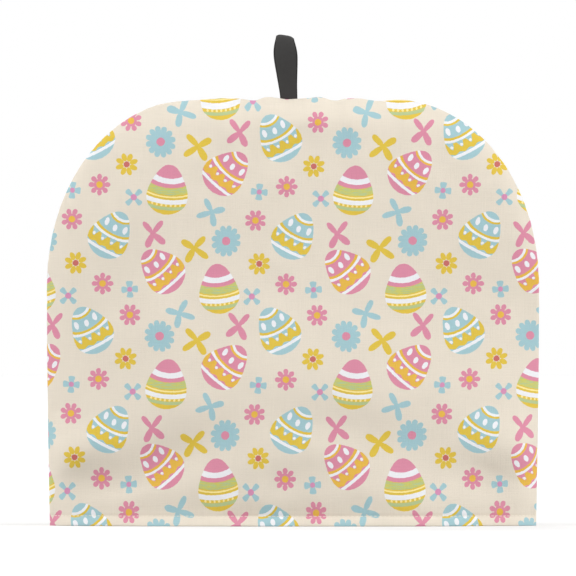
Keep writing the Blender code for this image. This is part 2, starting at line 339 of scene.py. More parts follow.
def panel_faces(number, rings, first_inner, outward, face_map):
    """A panel's groups of faces, and their corners on its flat map: the outer face, the inner
    face, the strips of the roll into the seam, the underside of the hem and its two ends."""
    inner_rise = (face_map[:, 1] - MAP_FOOT) / MAP_HEIGHT
    inner_map = np.stack([face_map[:, 0], MAP_INNER_FOOT + MAP_INNER_HEIGHT * inner_rise], -1)
    grid = np.stack([number[:-1, :-1], number[1:, :-1], number[1:, 1:], number[:-1, 1:]], -1)
    grid = grid.reshape(-1, 4)
    faces = [grid, first_inner + grid[:, ::-1]]
    corners = [face_map[grid], inner_map[grid[:, ::-1]]]

    straight = np.sign(outward) * np.clip(3 * np.abs(outward) - 1, 0, 1)
    ring_maps = [face_map[rings[0]] + straight * past for past in MAP_SEAM]
    for k in range(len(rings) - 1):
        faces.append(strip(rings[k], rings[k + 1]))
        corners.append(strip(ring_maps[k], ring_maps[k + 1]))

    here = number[:-1, 0]
    there = number[1:, 0]
    faces.append(np.stack([here, first_inner + here, first_inner + there, there], -1))
    here = face_map[here]
    there = face_map[there]
    down = np.array([0.0, MAP_HEM])
    corners.append(np.stack([here, here - down, there - down, there], 1))

    end_map = np.array([MAP_END])
    faces.append(np.array([[ring[0] for ring in rings]]))
    corners.append(end_map)
    faces.append(np.array([[ring[-1] for ring in rings[::-1]]]))
    corners.append(np.array([1.0, 0.0]) + end_map[:, ::-1] * (-1, 1))
    return faces, corners


def sew_panel(name, side, folds, seed, print_shift, materials):
    """One panel as a closed wall: an outer and an inner face on the same grid, the roll into
    the seam round three sides, and the flat underside of the hem.  side is -1 in front."""
    columns = gathered(np.linspace(-1, 1, PANEL_COLUMNS + 1))
    u, v = np.meshgrid(columns, panel_rows(), indexing="ij")
    crown = np.sqrt((1 - u**2) * (1 - v**2))
    x, y, z = panel_surface(u, v, 0.0, SEAM_ROLL[0][1], HEM_DEPTH / 2, folds, seed)
    y = y + hem_relief(x, z, crown, seed)
    run = laid_along(x, y, u, STEEP_FROM_U)
    run = run - run[len(run) // 2]
    rise = z[:, :1] + laid_along(z.T, y.T, v.T, STEEP_FROM_V).T
    outer = np.stack([x, y, z], -1).reshape(-1, 3)
    outer_place = print_place(run, rise, z, side)
    face_map = (0.5 + MAP_HALF_WIDTH * run / run[-1], MAP_FOOT + MAP_HEIGHT * rise / rise[:, -1:])
    face_map = np.stack(face_map, -1).reshape(-1, 2)
    inside = HEM_DEPTH / 2 - WALL
    x, y, z = panel_surface(u, v, SEAM_ALLOWANCE, SEAM_ROLL[-1][1], inside, folds, seed)
    inner = np.stack([x, y + hem_fold(z, crown), z], -1).reshape(-1, 3)

    number = np.arange(u.size).reshape(u.shape)
    seam = np.concatenate([number[0], number[1:, -1], number[-1, -2::-1]])
    seam_u = u.ravel()[seam]
    seam_v = v.ravel()[seam]
    outward = outer[seam][:, (0, 2)] - inner[seam][:, (0, 2)]
    outward = outward / np.linalg.norm(outward, axis=1)[:, None]
    points = [outer]
    places = [outer_place]
    rings = [seam]
    for k, (turned_in, off) in enumerate(SEAM_ROLL[1:]):
        points.append(np.stack(panel_surface(seam_u, seam_v, turned_in, off, off, folds, seed), -1))
        past = outer_place[seam]
        past[:, :2] += outward * PRINT_PAST_SEAM * (k + 1)
        places.append(past)
        rings.append(u.size + k * len(seam) + np.arange(len(seam)))
    points = np.concatenate(points + [inner])
    places = np.concatenate(places + [outer_place])
    first_inner = len(points) - u.size
    rings.append(first_inner + seam)
    faces, corners = panel_faces(number, rings, first_inner, outward, face_map)

    points = points * (1, side, 1)
    if side > 0:
        faces = [group[:, ::-1] for group in faces]
        corners = [group[:, ::-1] for group in corners]
    places = places * (-side, 1, 1) + (*print_shift, 0)
    slots = [np.zeros(len(group), int) for group in faces]
    slots[1] = (points[faces[1]][:, :, 2].mean(1) > PRINTED_INSIDE).astype(int)
    return make_cloth(name, points, faces, corners, places, np.concatenate(slots), materials)


def make_cloth(name, points, faces, corners, places, slots, materials):
    """Puts points and groups of faces into a mesh, with its flat map and the place of every
    point on the cloth."""
    mesh = bpy.data.meshes.new(name)
    mesh.from_pydata(points.tolist(), [], [face for group in faces for face in group.tolist()])
    flat_map = mesh.uv_layers.new(name="OFBake")
    flat_map.data.foreach_set("uv", np.concatenate([c.reshape(-1) for c in corners]))
    place = mesh.attributes.new("cloth_place", "FLOAT_VECTOR", "POINT")
    place.data.foreach_set("vector", places.reshape(-1))
    for material in materials:
        mesh.materials.append(material)
    mesh.polygons.foreach_set("material_index", slots)
    mesh.shade_smooth()
    made = bpy.data.objects.new(name, mesh)
    bpy.context.scene.collection.objects.link(made)
    return made


class Shade:
    """A value, place or colour that varies over a cloth, as the output of a node.  Arithmetic
    written on it adds the Math nodes that work it out, and node() adds any other kind."""

    def __init__(self, tree, socket=None):
        self.tree = tree
        self.socket = socket

    def feed(self, node, inputs):
        """Sets a node's sockets: links where a value varies, and constants."""
        for name, value in dict(inputs).items():
            if isinstance(value, Shade):
                self.tree.links.new(value.socket, node.inputs[name])
            else:
                node.inputs[name].default_value = value

    def node(self, kind, settings=(), inputs=(), output=0):
        """Adds one node: first its settings, where stops are a colour ramp's, then its
        sockets."""
        made = self.tree.nodes.new("ShaderNode" + kind)
        for name, value in dict(settings).items():
            if name == "stops":
                made.color_ramp.interpolation = "CONSTANT"
                made.color_ramp.elements.remove(made.color_ramp.elements[1])
                made.color_ramp.elements[0].color = value[0][1]
                for position, colour in value[1:]:
                    made.color_ramp.elements.new(position).color = colour
            else:
                setattr(made, name, value)
        self.feed(made, inputs)
        return Shade(self.tree, made.outputs[output])

    def maths(self, operation, *others):
        return self.node("Math", {"operation": operation}, enumerate((self, *others)))

    def vector(self, operation, *others, output="Vector"):
        return self.node("VectorMath", {"operation": operation}, enumerate((self, *others)), output)

    def part(self, axis):
        return self.node("SeparateXYZ", (), {0: self}, axis)

    def dot(self, x, y):
        return self.vector("DOT_PRODUCT", (x, y, 0), output="Value")

    def length(self):
        return self.vector("LENGTH", output="Value")

    def scaled(self, share):
        return self.node("VectorMath", {"operation": "SCALE"}, {"Vector": self, "Scale": share})

    def waves(self, pitch):
        """A sine along this value, with this length."""
        return (self * (2 * math.pi / pitch)).maths("SINE")

    def noise(self, scale, detail, output=0):
        """Flat noise at this place."""
        inputs = {"Vector": self, "Scale": scale, "Detail": detail}
        return self.node("TexNoise", {"noise_dimensions": "2D"}, inputs, output)

    def choose(self, colour, other):
        """One colour where this is 0, and the other where it is 1."""
        return self.node("Mix", {"data_type": "RGBA"}, {0: self, 6: colour, 7: other}, 2)

    def under(self, mask, colour):
        """This colour, with another laid over it where mask is 1."""
        return mask.choose(self, colour)

    def __add__(self, other):
        return self.maths("ADD", other)

    __radd__ = __add__

    def __sub__(self, other):
        return self.maths("SUBTRACT", other)

    def __rsub__(self, other):
        return self.node("Math", {"operation": "SUBTRACT"}, {0: other, 1: self})

    def __mul__(self, other):
        return self.maths("MULTIPLY", other)

    __rmul__ = __mul__

    def __truediv__(self, other):
        return self.maths("DIVIDE", other)

    def __lt__(self, other):
        return self.maths("LESS_THAN", other)

    def __gt__(self, other):
        return self.maths("GREATER_THAN", other)

    def __and__(self, other):
        return self.maths("MINIMUM", other)

    def __or__(self, other):
        return self.maths("MAXIMUM", other)


def dye(red, green, blue):
    """A colour as seen, 0 to 255, made linear."""
    share = np.array([red, green, blue]) / 255
    linear = np.where(share > 0.04045, ((share + 0.055) / 1.055) ** 2.4, share / 12.92)
    return (*linear.tolist(), 1.0)


CREAM = dye(231, 221, 205)
PINK = dye(221, 143, 166)
BLUE = dye(165, 201, 208)
YELLOW = dye(226, 195, 74)
ORANGE = dye(233, 187, 78)
PALE_YELLOW = dye(250, 232, 160)
GREEN = dye(193, 200, 130)
LIME = dye(207, 204, 106)
SAGE = dye(184, 200, 148)
WHITE = dye(240, 240, 243)
ROSE = dye(202, 112, 104)
MAUVE = dye(216, 146, 182)

# The print, in mm: its repeat along a row, and the drop to the next row, which is turned
REPEAT = 120.7
ROW_DROP = 63.25
TURNED_ROW_SINKS = 1.15
MOTIFS_STRAY = 0.62
PRINT_ORIGIN = (-64.9, 235.0)

# Crossed leaves: each petal's angle in degrees, length and half width
BLUE_LEAVES = ((166, 8.9, 2.1), (-17, 10.6, 1.9), (62, 9.8, 1.9), (261, 9.6, 2.1))
PINK_LEAVES = ((127, 10.3, 1.85), (49, 9.9, 1.8), (220, 10.3, 2.25), (295, 10.0, 2.25))
YELLOW_LEAVES = ((134, 10.3, 2.05), (30, 9.7, 2.3), (215, 11.2, 2.1), (299, 10.5, 2.35))

# Rings: how far out a petal's middle is, its half length and half width, and the disc
DAISY = (5.15, 1.95, 1.6, 3.75)
YELLOW_DAISY = (4.8, 2.65, 1.65, 0.0)
ASTER = (7.9, 2.1, 1.85, 7.4)

EGG_HEIGHT = 31.6
STRIPED_EGG = (                 # colours from these shares of the way down
    (0.0, PINK),
    (0.266, WHITE),
    (0.381, PINK),
    (0.462, ORANGE),
    (0.471, GREEN),
    (0.613, YELLOW),
    (0.633, PALE_YELLOW),
    (0.665, YELLOW),
    (0.708, WHITE),
    (0.804, YELLOW),
    (0.857, SAGE),
    (0.922, YELLOW),
)
WAVE_PITCH = 6.6                # of the dotted eggs' gold band, and of their spots
COTTON_THREADS = 0.45           # the repeat of its weave


def print_rows(spot, level):
    """The print's rows, measured up from a level, and 1 where a row is turned.  A row's height
    is wrapped to half a row either side, and every other row is turned left to right.  The
    drawing is two repeats wide, so that motifs stray to the right in one and to the left in
    the next, by a sine."""
    up = spot.part("Y") - level
    odd = (up / ROW_DROP).maths("ROUND").maths("PINGPONG", 1.0)
    stray = MOTIFS_STRAY * (spot.part("X") * (math.pi / REPEAT)).maths("SINE")
    across = spot.part("X") * (1 - 2 * odd) - stray
    up = (up + TURNED_ROW_SINKS * odd).maths("WRAP", ROW_DROP / 2, -ROW_DROP / 2)
    return spot.node("CombineXYZ", (), {"X": across, "Y": up}), odd


def from_motif(rows, x, rise, moved=None):
    """The way from the middle of a motif's nearest copy.  moved is how much further along and
    up that middle lies in some of the rows."""
    way = rows.vector("SUBTRACT", (x, rise, 0))
    if moved:
        way = way.vector("SUBTRACT", rows.node("CombineXYZ", (), {"X": moved[0], "Y": moved[1]}))
    far = 1000                  # only the way along is wrapped
    return way.vector("WRAP", (REPEAT / 2, far, far), (-REPEAT / 2, -far, -far))


def crossed_petals(way, petals):
    """Four leaf-like petals, each a full oval, |out|^2.5 + beside^2 < 1, that widens from the
    middle out, and a small disc over their meeting."""
    nearest = None
    for angle, length, half_across in petals:
        c = math.cos(math.radians(angle))
        s = math.sin(math.radians(angle))
        half = 0.49 * length
        out = way.dot(c / half, s / half) - 0.51 / 0.49
        beside = way.dot(-s / half_across, c / half_across) / (0.97 + 0.13 * out)
        oval = out.maths("ABSOLUTE").maths("POWER", 2.5) + beside * beside
        nearest = oval if nearest is None else nearest & oval
    return (nearest < 1) | (way.length() < 1.8)


def ring_of_petals(way, petals, turn, petal_at, half_length, half_across, disc):
    """Petals as ovals set evenly round a disc: the angle is wrapped into one petal's share."""
    far = way.length()
    angle = way.part("Y").maths("ARCTAN2", way.part("X")) - math.radians(turn)
    angle = angle.maths("WRAP", math.pi / petals, -math.pi / petals)
    out = (far * angle.maths("COSINE") - petal_at) / half_length
    beside = far * angle.maths("SINE") / half_across
    return (out * out + beside * beside < 1) | (far < disc)


def small_cross(way, turn, start, tip, half_across, flare):
    """Four short petals, widening outwards, at right angles to each other."""
    c = math.cos(math.radians(turn))
    s = math.sin(math.radians(turn))
    one = way.dot(c, s).maths("ABSOLUTE")
    other = way.dot(-s, c).maths("ABSOLUTE")
    out = (one | other) - (start + tip) / 2
    beside = (one & other) / (half_across + flare * out)
    out = out / ((tip - start) / 2)
    return out.maths("POWER", 4.0) + beside.maths("POWER", 3.0) < 1


def egg_place(way, lean):
    """Across and up in the egg's own upright place."""
    c = math.cos(math.radians(lean))
    s = math.sin(math.radians(lean))
    return way.dot(c, s), way.dot(-s, c)


def egg_shape(across, up, half_across, half_up):
    """Inside an egg: an ellipse whose width follows 1 - 0.365 t + 0.17 t^3, so that it is
    broader below its middle and still round on top."""
    tall = up / half_up
    side = across / (half_across * (1 - tall * (0.365 - 0.17 * tall * tall)))
    return side * side + tall * tall < 1


def down_egg(across, up, askew, tighter):
    """Share of the way down the egg, along bands that lie a little askew and hang in a curve,
    tighter towards the narrow end."""
    hang = 0.0157 + tighter * (up * (1 + 0.05 * up))
    return (EGG_HEIGHT / 2 - (up + askew * across - hang * (across * across))) / EGG_HEIGHT


def between(down, top, foot):
    """Inside a level band of an egg."""
    return (down > top) & (down < foot)


def dotted(across, spacing, last, down, level, half_across, half_up, slant=0.0, bend=0.0):
    """A row of ovals along a band, from -last to last steps either side of the middle.  Each
    is slanted, and bend takes away the slope that its band has there."""
    step = (across / spacing + (last % 1)).maths("ROUND") - (last % 1)
    step = (step & last) | -last
    beside = across - step * spacing
    tall = (down - level) * EGG_HEIGHT - bend * step * beside
    side = (beside + slant * tall) / half_across
    tall = tall / half_up
    return side * side + tall * tall < 1


def add_flowers(colour, spot, even_rows, upper_rows):
    """Crossed leaves and flowers over a colour, petals first, then their centres.  The leaves
    lie a little differently in the turned rows."""
    even, turned = even_rows
    upper, upper_turned = upper_rows
    sunk = -4.5 * (spot.part("Y") < 0.0) * (1 - upper_turned)
    blue_leaves = from_motif(upper, -9.0, 9.2, (-3.0 * upper_turned, sunk - 0.4 * upper_turned))
    pink_leaves = from_motif(upper, 29.2, -3.3, (-2.3 * upper_turned, -2.2 * upper_turned))
    yellow_leaves = from_motif(even, 2.6, 12.2, (-3.0 * turned, -2.1 * turned))
    aster = from_motif(even, -21.5, 14.9)
    cross = from_motif(even, 42.0, -16.9)
    tiny = from_motif(even, -38.6, -21.3)
    pink_daisy = from_motif(even, -60.9, -13.2)
    other_daisy = from_motif(upper, -40.7, 3.6)
    yellow_daisy = from_motif(even, -43.3, 0.1)

    leaning = {"Vector": aster, "Angle": math.radians(-22)}
    leaning = aster.node("VectorRotate", {"rotation_type": "Z_AXIS"}, leaning)
    blue = crossed_petals(blue_leaves, BLUE_LEAVES)
    blue = blue | ring_of_petals(leaning.vector("MULTIPLY", (1.04, 0.955, 1)), 12, 20, *ASTER)
    blue = blue | small_cross(cross, -4, 0.2, 5.45, 1.82, 0.30)
    blue = blue | small_cross(tiny, 45, 0.9, 6.6, 1.47, 0.22)
    pink = crossed_petals(pink_leaves, PINK_LEAVES) | ring_of_petals(pink_daisy, 8, 0, *DAISY)
    pink = pink | ring_of_petals(other_daisy, 8, 22.5, *DAISY)
    yellow = crossed_petals(yellow_leaves, YELLOW_LEAVES)
    yellow = yellow | ring_of_petals(yellow_daisy, 8, 20, *YELLOW_DAISY)
    colour = colour.under(blue, BLUE).under(pink, PINK).under(yellow, YELLOW)

    colour = colour.under(aster.length() < 2.75, PINK)
    colour = colour.under((cross.length() < 1.65) | (tiny.length() < 2.0), MAUVE)
    colour = colour.under((pink_daisy.length() < 2.15) | (other_daisy.length() < 2.15), ORANGE)
    return colour.under(yellow_daisy.length() < 1.95, ROSE)


def add_striped_egg(colour, spot, rows):
    """The upright egg: level bands, the green one streaked, and a row of small dots."""
    across, up = egg_place(from_motif(rows, -16.8, 1.5), -5.5)
    down = down_egg(across, up, 0, 0.0010)
    streaks = spot.vector("MULTIPLY", (0.16, 1.7, 1)).noise(1.0, 2.0)
    in_green = between(down, 0.471, 0.613)
    bands = down.node("ValToRGB", {"stops": STRIPED_EGG}, {0: down})
    bands = bands.under(in_green & (streaks > 0.54), LIME)
    bands = bands.under(in_green & (streaks < 0.44), SAGE)
    bands = bands.under(dotted(across, 3.0, 3, down, 0.830, 0.75, 0.75), PALE_YELLOW)
    return colour.under(egg_shape(across, up, 12.6, 16.3), bands)


def add_dotted_eggs(colour, even, upper):
    """The two leaning eggs, blue and pink, drawn once: a row of large spots, a gold band whose
    upper edge is a cosine cut off flat, and white and gold lines."""
    blue_egg = from_motif(upper, 54.4, -6.1)
    pink_egg = from_motif(even, 21.1, -4.2)
    is_pink = pink_egg.length() < 19.0
    blue_across, blue_up = egg_place(blue_egg, 31.5)
    pink_across, pink_up = egg_place(pink_egg, -45.5)
    across = blue_across + is_pink * (pink_across - blue_across)
    up = blue_up + is_pink * (pink_up - blue_up)
    down = down_egg(across, up, 0.06 - 0.13 * is_pink, 0.0020)
    wave = (across * (2 * math.pi / WAVE_PITCH)).maths("COSINE")
    golden = between(down, 0.173, 0.218) | between(down, 0.471, 0.520)
    golden = golden | between(down, 0.622 - 0.056 * (1.5 * wave & 0.75), 0.799 - 0.017 * wave)
    white = between(down, 0.119, 0.173) | between(down, 0.520, 0.568) | between(down, 0.825, 0.888)
    white = white | dotted(across, WAVE_PITCH, 1, down, 0.346, 1.5, 2.25, 0.18 - 0.36 * is_pink, 0.37)
    white = white | dotted(across, WAVE_PITCH, 1.5, down, 0.658, 0.95, 0.95)
    bands = is_pink.choose(BLUE, PINK).under(golden, is_pink.choose(YELLOW, ORANGE))
    return colour.under(egg_shape(across, up, 12.75, 16.2), bands.under(white, WHITE))


def spring_print(spot, ground):
    """The whole print laid over its ground."""
    even = print_rows(spot, 0.0)
    upper = print_rows(spot, 25.0)
    lower = print_rows(spot, -17.8)
    colour = add_flowers(ground, spot, even, upper)
    colour = add_striped_egg(colour, spot, lower[0])
    return add_dotted_eggs(colour, even[0], upper[0])


def weave(spot, thread_pitch):
    """Three parts of a plain weave at a place in mm: its threads, one sine along each set,
    multiplied; thicker threads, as long thin noise; and slow clouds."""
    over = spot.part("X").waves(thread_pitch) * spot.part("Y").waves(thread_pitch)
    weft = spot.vector("MULTIPLY", (0.07, 1.9, 1)).noise(1.0, 3.0)
    warp = spot.vector("MULTIPLY", (2.1, 0.06, 1)).noise(1.0, 3.0)
    cloudy = spot.noise(0.035, 2.0)
    return over, weft + warp - 1.0, cloudy - 0.5


def new_material(name):
    """A material, and a start for its shading."""
    material = bpy.data.materials.new(name)
    material.use_nodes = True
    return material, Shade(material.node_tree)


def finish_cloth(name, coloured, roughness):
    """A cotton material: coloured(spot, ground) gives its colour, with edges that bleed a
    little, then the weave tints it, roughens it and stands out in the bump."""
    material, shade = new_material(name)
    place = shade.node("Attribute", {"attribute_name": "cloth_place"}, (), "Vector")
    spot = place.vector("MULTIPLY_ADD", (1000, 1000, 0), (-PRINT_ORIGIN[0], -PRINT_ORIGIN[1], 0))
    over, slubs, cloudy = weave(spot, COTTON_THREADS)
    bleed = spot.noise(0.55, 2.0, "Color").vector("MULTIPLY_ADD", (0.50, 0.50, 0), (-0.25, -0.25, 0))
    ground = shade.node("RGB")
    ground.socket.default_value = CREAM
    tint = 1.0 + 0.07 * slubs + 0.05 * cloudy + 0.02 * over
    bumps = {"Strength": 0.55, "Distance": 0.00016, "Height": 0.35 * over + 1.2 * slubs}
    shade.feed(shade.tree.nodes["Principled BSDF"], {
        "Base Color": coloured(spot.vector("ADD", bleed), ground).scaled(tint),
        "Roughness": roughness + 0.10 * slubs,
        "Normal": shade.node("Bump", (), bumps),
        "Specular IOR Level": 0.25,
        "Sheen Weight": 0.12,
        "Sheen Roughness": 0.45,
    })
    return material


printed_cotton = finish_cloth("printed_cotton", spring_print, 0.86)
plain_cotton = finish_cloth("plain_cotton", lambda spot, ground: ground, 0.90)
cottons = (printed_cotton, plain_cotton)

front_cloth = sew_panel("front_cloth", -1, FRONT_FOLDS, FRONT_SEED, (0.0, 0.0), cottons)
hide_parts("front_panel")
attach(front_cloth, "root")


# ------------------------------------------------------------------ Back panel
# The other half, cut from the same cloth to the same pattern and sewn to the front along the
# curved edge.  Its print was cut from another place on the cloth and its folds are its own.

BACK_FOLDS = (
    (-0.096, 0.044, 22, 0.046, 0.015, -0.0026),
    (0.034, 0.070, -8, 0.060, 0.016, -0.0022),
    (0.122, 0.058, -30, 0.034, 0.014, -0.0024),
    (-0.128, 0.100, 60, 0.036, 0.014, 0.0014),
    (0.148, 0.120, 82, 0.022, 0.010, -0.0016),
    (-0.062, 0.262, 114, 0.017, 0.008, 0.0012),
    (0.030, 0.264, 82, 0.017, 0.008, 0.0012),
    (0.092, 0.252, 56, 0.018, 0.009, 0.0010),
    (-0.132, 0.046, 50, 0.024, 0.004, 0.0006),
    (0.104, 0.036, -22, 0.026, 0.004, -0.0006),
    (0.020, 0.018, 6, 0.034, 0.004, -0.0004),
    (-0.061, 0.266, 100, 0.010, 0.003, 0.0006),
    (0.030, 0.267, 84, 0.010, 0.003, 0.0006),
)
BACK_PRINT_SHIFT = (0.038, -0.021)
BACK_SEED = 29

back_cloth = sew_panel("back_cloth", 1, BACK_FOLDS, BACK_SEED, BACK_PRINT_SHIFT, cottons)
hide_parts("back_panel")
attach(back_cloth, "root")


# ------------------------------------------------------------------ Hem stitches
# One line of machine stitches in cream thread holds each hem up, 6.5 mm above its edge.
# Each stitch is a short length of thread that comes up, lies in its groove and goes down.

STITCH_PITCH = 0.0030
STITCH_LENGTH = 0.0024
STITCH_WANDERS = 0.00012        # up or down
STITCHES_STOP = 0.0012          # from each end of the hem
THREAD_WIDTH = 0.00056
THREAD_HEIGHT = 0.00042
THREAD_SIDES = 6
THREAD_TWIST = 0.00045
THREAD_CREAM = dye(238, 230, 214)
HEM_LINE_POINTS = 1601
STITCHED_HEMS = (
    ("front_hem_stitches", -1, FRONT_FOLDS, FRONT_SEED),
    ("back_hem_stitches", 1, BACK_FOLDS, BACK_SEED),
)


def hem_line(side, folds, seed):
    """Points along the stitch line, how far along it they are, and the way out from the cloth
    at each."""
    u = np.sin(np.linspace(-1, 1, HEM_LINE_POINTS) * math.pi / 2)
    v = np.full_like(u, HEM_BAND / CORNER_HEIGHT)
    x, y, z = panel_surface(u, v, 0.0, SEAM_ROLL[0][1], HEM_DEPTH / 2, folds, seed)
    y = y + hem_relief(x, z, np.sqrt((1 - u**2) * (1 - v**2)), seed)
    line = np.stack([x, side * y, z], -1)
    run = np.concatenate([[0], np.cumsum(np.linalg.norm(np.diff(line, axis=0), axis=1))])
    along = np.gradient(line, run, axis=0)
    along /= np.linalg.norm(along, axis=1)[:, None]
    out = np.stack([along[:, 1], -along[:, 0], np.zeros(len(u))], -1) * -side
    return line, run, out


def sew_hem(name, side, folds, seed, material):
    """A row of stitches: each is a tube along the line whose height and thickness rise and
    fall as the square root of a half sine, and whose ends lie in the cloth."""
    line, run, out = hem_line(side, folds, seed)
    chance = np.random.default_rng(seed + 6)
    count = int((run[-1] - 2 * STITCHES_STOP) / STITCH_PITCH)
    start = STITCHES_STOP + STITCH_PITCH * (np.arange(count) + chance.uniform(-0.05, 0.05, count))
    share = np.array([0.02, 0.16, 0.38, 0.62, 0.84, 0.98])
    at = start[:, None] + STITCH_LENGTH * share
    middle = np.stack([np.interp(at, run, line[:, k]) for k in range(3)], -1)
    outward = np.stack([np.interp(at, run, out[:, k]) for k in range(3)], -1)
    middle[..., 2] += (chance.uniform(-1, 1, count) * STITCH_WANDERS)[:, None]
    swell = np.sqrt(np.sin(math.pi * share))
    angle = np.linspace(0, 2 * math.pi, THREAD_SIDES + 1)[:-1]
    lift = THREAD_HEIGHT * (0.5 * np.outer(swell, np.cos(angle)) + 0.42 * swell[:, None] - 0.12)
    sideways = THREAD_WIDTH / 2 * np.outer(swell, np.sin(angle))
    points = middle[:, :, None, :] + outward[:, :, None, :] * lift[None, :, :, None]
    points[..., 2] += side * sideways
    number = np.arange(points[..., 0].size).reshape(points.shape[:3])
    turned = np.roll(number, -1, axis=2)
    quads = np.stack([number[:, :-1], number[:, 1:], turned[:, 1:], turned[:, :-1]], -1).reshape(-1, 4)
    faces = quads.tolist() + number[:, 0].tolist() + number[:, -1, ::-1].tolist()
    mesh = bpy.data.meshes.new(name)
    mesh.from_pydata(points.reshape(-1, 3).tolist(), [], faces)
    mesh.materials.append(material)
    mesh.shade_smooth()
    made = bpy.data.objects.new(name, mesh)
    bpy.context.scene.collection.objects.link(made)
    return made


hem_thread, shade = new_material("hem_thread")
place = shade.node("TexCoord", (), (), "Object")
twist = (place.part("X") + place.part("Z")).waves(THREAD_TWIST)
mottle = place.node("TexNoise", (), {"Vector": place, "Scale": 900.0})
tone = shade.node("RGB")
tone.socket.default_value = THREAD_CREAM
shade.feed(shade.tree.nodes["Principled BSDF"], {
    "Base Color": tone.scaled(0.97 + 0.06 * mottle + 0.05 * twist),
    "Roughness": 0.62 + 0.12 * mottle,
    "Normal": shade.node("Bump", (), {"Strength": 0.5, "Distance": 0.00006, "Height": twist}),
    "Sheen Weight": 0.2,
})

for name, side, folds, seed in STITCHED_HEMS:
    stitches = sew_hem(name, side, folds, seed, hem_thread)
    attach(stitches, "root")


# ------------------------------------------------------------------ Hanging loop
# One length of dark grey woven tape, folded in half with both ends caught in the top seam.
# It is gathered at its foot, leans to the left, and its corners drop at the fold.

TAPE_THICKNESS = 0.0011
TAPE_CUP = 0.00045              # its edges curl outwards, most half way up
TAPE_SET = 0.00015              # and all of it lies further in
LOOP_RISE = 0.0417
LOOP_LEG = 0.008
LOOP_BELLY = 0.0068
LOOP_TOP_SLOPE = 0.165
CORNER_DROP = 0.0016
SEAM_GAP = 0.0003
TAPE_STEPS = 150
TAPE_SIDES = 64
LEG_STEPS = 8
EDGES_SOFTENED = 0.0035
TAPE_GREY = dye(62, 61, 60)
# Painted shade: a darker grey along both edges of the tape stands in for the shade where its curled
# edges turn away from the light
EDGE_SHADE_GREY = dye(46, 45, 45)
EDGE_SHADE_FROM = 0.86            # share of the way from the tape's middle to its edge
TAPE_THREADS = 0.62             # in mm, like the ribs
TAPE_RIBS = 0.75
# Height over the seam, left edge and right edge, in mm, as the tape hangs
TAPE_EDGES = np.array([
    (-8.0, -8.2, 2.9),
    (0.0, -8.2, 2.9),
    (9.0, -9.6, 2.7),
    (17.0, -11.0, 2.9),
    (26.0, -12.6, 3.1),
    (31.0, -12.9, 3.0),
    (37.0, -12.1, 1.9),
    (42.0, -10.6, 0.2),
]) / 1000


def tape_section():
    """Outline of the tape cut across: shares of half its width, and its layer.  A flat oval,
    cos^0.75 by sin^0.18, with fuller edges."""
    angle = np.linspace(0, 2 * math.pi, TAPE_SIDES + 1)
    c = np.cos(angle)
    s = np.sin(angle)
    across = np.sign(c) * np.abs(c) ** 0.75
    fuller = 1 + 0.16 * bell(np.abs(across) - 0.93, 0.05)
    return across, TAPE_THICKNESS / 2 * np.sign(s) * np.abs(s) ** 0.18 * fuller


def tape_line():
    """The loop's middle line, seen from the side, and the length along it: y = -belly sin(t)
    sin(t/2)^2 - leg cos(t/2), z = rise (1 - cos t)/2, with a straight leg down into the seam
    at each end."""
    leg = SEAM_GAP / 2 + TAPE_THICKNESS / 2
    rise = LOOP_RISE - TAPE_THICKNESS / 2
    t = np.linspace(0, 2 * math.pi, TAPE_STEPS + 1)
    y = -LOOP_BELLY * np.sin(t) * np.sin(t / 2) ** 2 - leg * np.cos(t / 2)
    z = rise * (1 - np.cos(t)) / 2
    down = np.linspace(-LOOP_LEG, 0, LEG_STEPS + 1)[:-1]
    y = np.concatenate([np.full(LEG_STEPS, -leg), y, np.full(LEG_STEPS, leg)])
    z = np.concatenate([down, z, down[::-1]])
    return y, z, np.concatenate([[0], np.cumsum(np.hypot(np.diff(y), np.diff(z)))])


def tape_edges(z, run):
    """Left and right edge at each point of the line: the table's, softened by a bell."""
    soften = bell(run[:, None] - run, EDGES_SOFTENED)
    soften /= soften.sum(1)[:, None]
    left = np.interp(z, TAPE_EDGES[:, 0], TAPE_EDGES[:, 1])
    right = np.interp(z, TAPE_EDGES[:, 0], TAPE_EDGES[:, 2])
    return soften @ left, soften @ right


def tape_faces(steps, around, share):
    """The tape's skin and two ends, and their corners on its flat map: the skin as one strip
    by share of its length, the ends as two ovals beside it."""
    number = np.arange(steps * around).reshape(steps, around)
    turned = np.roll(number, -1, axis=1)
    quads = np.stack([number[:-1], turned[:-1], turned[1:], number[1:]], -1).reshape(-1, 4)
    girth = 0.03 + 0.90 * np.arange(around + 1) / around
    tape_map = np.stack(np.meshgrid(girth, 0.03 + 0.94 * share), -1)
    corners = [tape_map[:-1, :-1], tape_map[:-1, 1:], tape_map[1:, 1:], tape_map[1:, :-1]]
    corners = np.stack(corners, 2).reshape(-1, 4, 2)
    angle = np.arange(around) / around * 2 * math.pi
    end_map = np.stack([0.965 + 0.015 * np.cos(angle), 0.10 + 0.03 * np.sin(angle)], -1)
    ends = [end_map[None, ::-1], end_map[None] + (0, 0.10)]
    return [quads, number[:1, ::-1], number[-1:]], [corners, *ends]


